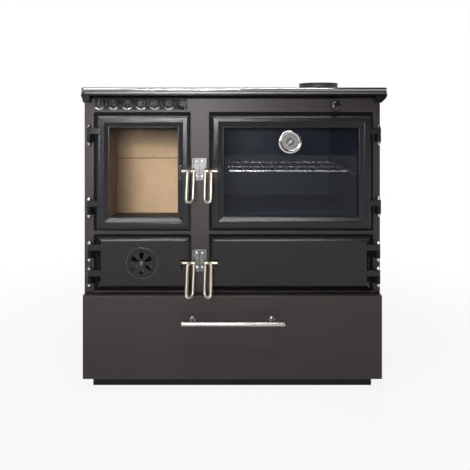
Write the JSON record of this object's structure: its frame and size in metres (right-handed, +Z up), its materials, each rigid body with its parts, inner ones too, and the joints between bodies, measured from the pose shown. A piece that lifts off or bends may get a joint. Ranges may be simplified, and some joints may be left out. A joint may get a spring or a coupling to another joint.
{
  "type": "wood stove with oven",
  "caption": "Free-standing wood-burning cooking stove with a glazed fire door and oven door, an ash door, a soot door and a wide log drawer.",
  "frame": {"origin": "centre of the bounding box on the floor", "axes": "+Z up; the front with the doors looks along -Y; +X is to the right as one stands before it"},
  "size_m": [0.853, 0.6424, 0.888],
  "materials": {
    "body_enamel": "brown-grey satin enamel on sheet steel",
    "black_cast": "black paint with the leathery texture of the casting",
    "black_gloss": "gloss black enamel",
    "bare_cast": "dark bare casting, ground on top of the hob",
    "chrome": "polished",
    "bright_steel": "bright bent rod and sheet",
    "grey_sheet": "plain sheet, dull",
    "oven_enamel": "dark blue-black oven enamel",
    "fire_brick": "tan fire board, dusty",
    "glass": "clear heat-proof pane",
    "seal_rope": "woven glass-fibre rope"
  },
  "bodies": {
    "stove": {"plinth": "black_cast", "base_panel": "grey_sheet", "side_panel_left": "body_enamel", "side_panel_right": "body_enamel", "back_panel": "grey_sheet", "front_plate": "body_enamel", "inner_frame": "bare_cast", "shelf": "grey_sheet", "drawer_runner_left": "grey_sheet", "drawer_runner_right": "grey_sheet", "hob_plate": "bare_cast", "hob_lid": "bare_cast", "hob_rail": "chrome", "cornice": "black_gloss", "flue_collar": "black_gloss", "vent_grille": "black_cast", "fire_brick_back_lower": "fire_brick", "fire_brick_back_upper": "fire_brick", "fire_brick_left": "fire_brick", "fire_brick_right": "fire_brick", "grate": "bare_cast", "firebox_floor": "bare_cast", "divider": "grey_sheet", "smoke_partition": "grey_sheet", "oven_liner": "oven_enamel", "fire_catch": "bright_steel", "oven_catch": "bright_steel", "ash_catch": "bright_steel", "soot_catch": "bright_steel", "hinge_pin_fire_upper": "chrome", "hinge_pin_fire_lower": "chrome", "hinge_pin_oven_upper": "chrome", "hinge_pin_oven_lower": "chrome", "hinge_pin_ash_upper": "chrome", "hinge_pin_ash_lower": "chrome", "hinge_pin_soot_upper": "chrome", "hinge_pin_soot_lower": "chrome"},
    "fire_door": {"fire_door_frame": "black_cast", "fire_door_glass": "glass", "fire_door_glass_retainer": "grey_sheet", "fire_door_seal": "seal_rope"},
    "oven_door": {"oven_door_frame": "black_cast", "oven_door_glass": "glass", "oven_door_glass_retainer": "grey_sheet", "oven_door_seal": "seal_rope", "thermometer": "chrome"},
    "ash_door": {"ash_door_plate": "black_cast"},
    "soot_door": {"soot_door_plate": "black_cast"},
    "fire_handle": {"fire_door_handle": "bright_steel"},
    "oven_handle": {"oven_door_handle": "bright_steel"},
    "ash_handle": {"ash_door_handle": "bright_steel"},
    "soot_handle": {"soot_door_handle": "bright_steel"},
    "spinner": {"air_spinner": "black_cast"},
    "needle": {"thermometer_needle": "bright_steel"},
    "drawer": {"drawer_front": "body_enamel", "drawer_box": "grey_sheet", "drawer_bar": "chrome"},
    "damper": {"damper_rod": "black_gloss"},
    "rack": {"oven_rack": "chrome"},
    "pan": {"ash_pan": "grey_sheet"}
  },
  "joints": [
    {"name": "fire_door_hinge", "type": "hinge", "parent": "stove", "child": "fire_door", "pos_m": [-0.406, -0.26375, 0.6125], "axis": [0, 0, -1], "range_deg": [0, 120]},
    {"name": "oven_door_hinge", "type": "hinge", "parent": "stove", "child": "oven_door", "pos_m": [0.405, -0.26375, 0.61375], "axis": [0, 0, 1], "range_deg": [0, 120]},
    {"name": "ash_door_hinge", "type": "hinge", "parent": "stove", "child": "ash_door", "pos_m": [-0.405, -0.26375, 0.3595], "axis": [0, 0, -1], "range_deg": [0, 120]},
    {"name": "soot_door_hinge", "type": "hinge", "parent": "stove", "child": "soot_door", "pos_m": [0.403, -0.26375, 0.3595], "axis": [0, 0, 1], "range_deg": [0, 120]},
    {"name": "fire_handle_lift", "type": "hinge", "parent": "fire_door", "child": "fire_handle", "pos_m": [-0.1217, -0.25975, 0.616], "axis": [-1, 0, 0], "range_deg": [0, 70]},
    {"name": "oven_handle_lift", "type": "hinge", "parent": "oven_door", "child": "oven_handle", "pos_m": [-0.0723, -0.25975, 0.616], "axis": [-1, 0, 0], "range_deg": [0, 70]},
    {"name": "ash_handle_lift", "type": "hinge", "parent": "ash_door", "child": "ash_handle", "pos_m": [-0.1217, -0.25975, 0.3587], "axis": [-1, 0, 0], "range_deg": [0, 70]},
    {"name": "soot_handle_lift", "type": "hinge", "parent": "soot_door", "child": "soot_handle", "pos_m": [-0.0723, -0.25975, 0.3587], "axis": [-1, 0, 0], "range_deg": [0, 70]},
    {"name": "air_spinner_turn", "type": "hinge", "parent": "ash_door", "child": "spinner", "pos_m": [-0.258, -0.26775, 0.36], "axis": [0, 1, 0], "range_deg": [0, 30]},
    {"name": "thermometer_needle_turn", "type": "hinge", "parent": "oven_door", "child": "needle", "pos_m": [0.157, -0.25725, 0.698], "axis": [0, 1, 0], "range_deg": [0, 270], "stiffness_Nm_per_rad": 0.002},
    {"name": "drawer_slide", "type": "slide", "parent": "stove", "child": "drawer", "axis": [0, -1, 0], "range_m": [0, 0.42]},
    {"name": "damper_slide", "type": "slide", "parent": "stove", "child": "damper", "axis": [0, -1, 0], "range_m": [0, 0.06]},
    {"name": "oven_rack_slide", "type": "slide", "parent": "stove", "child": "rack", "axis": [0, -1, 0], "range_m": [-0.09, 0.016]},
    {"name": "ash_pan_slide", "type": "slide", "parent": "stove", "child": "pan", "axis": [0, -1, 0], "range_m": [-0.08, 0.018]}
  ]
}
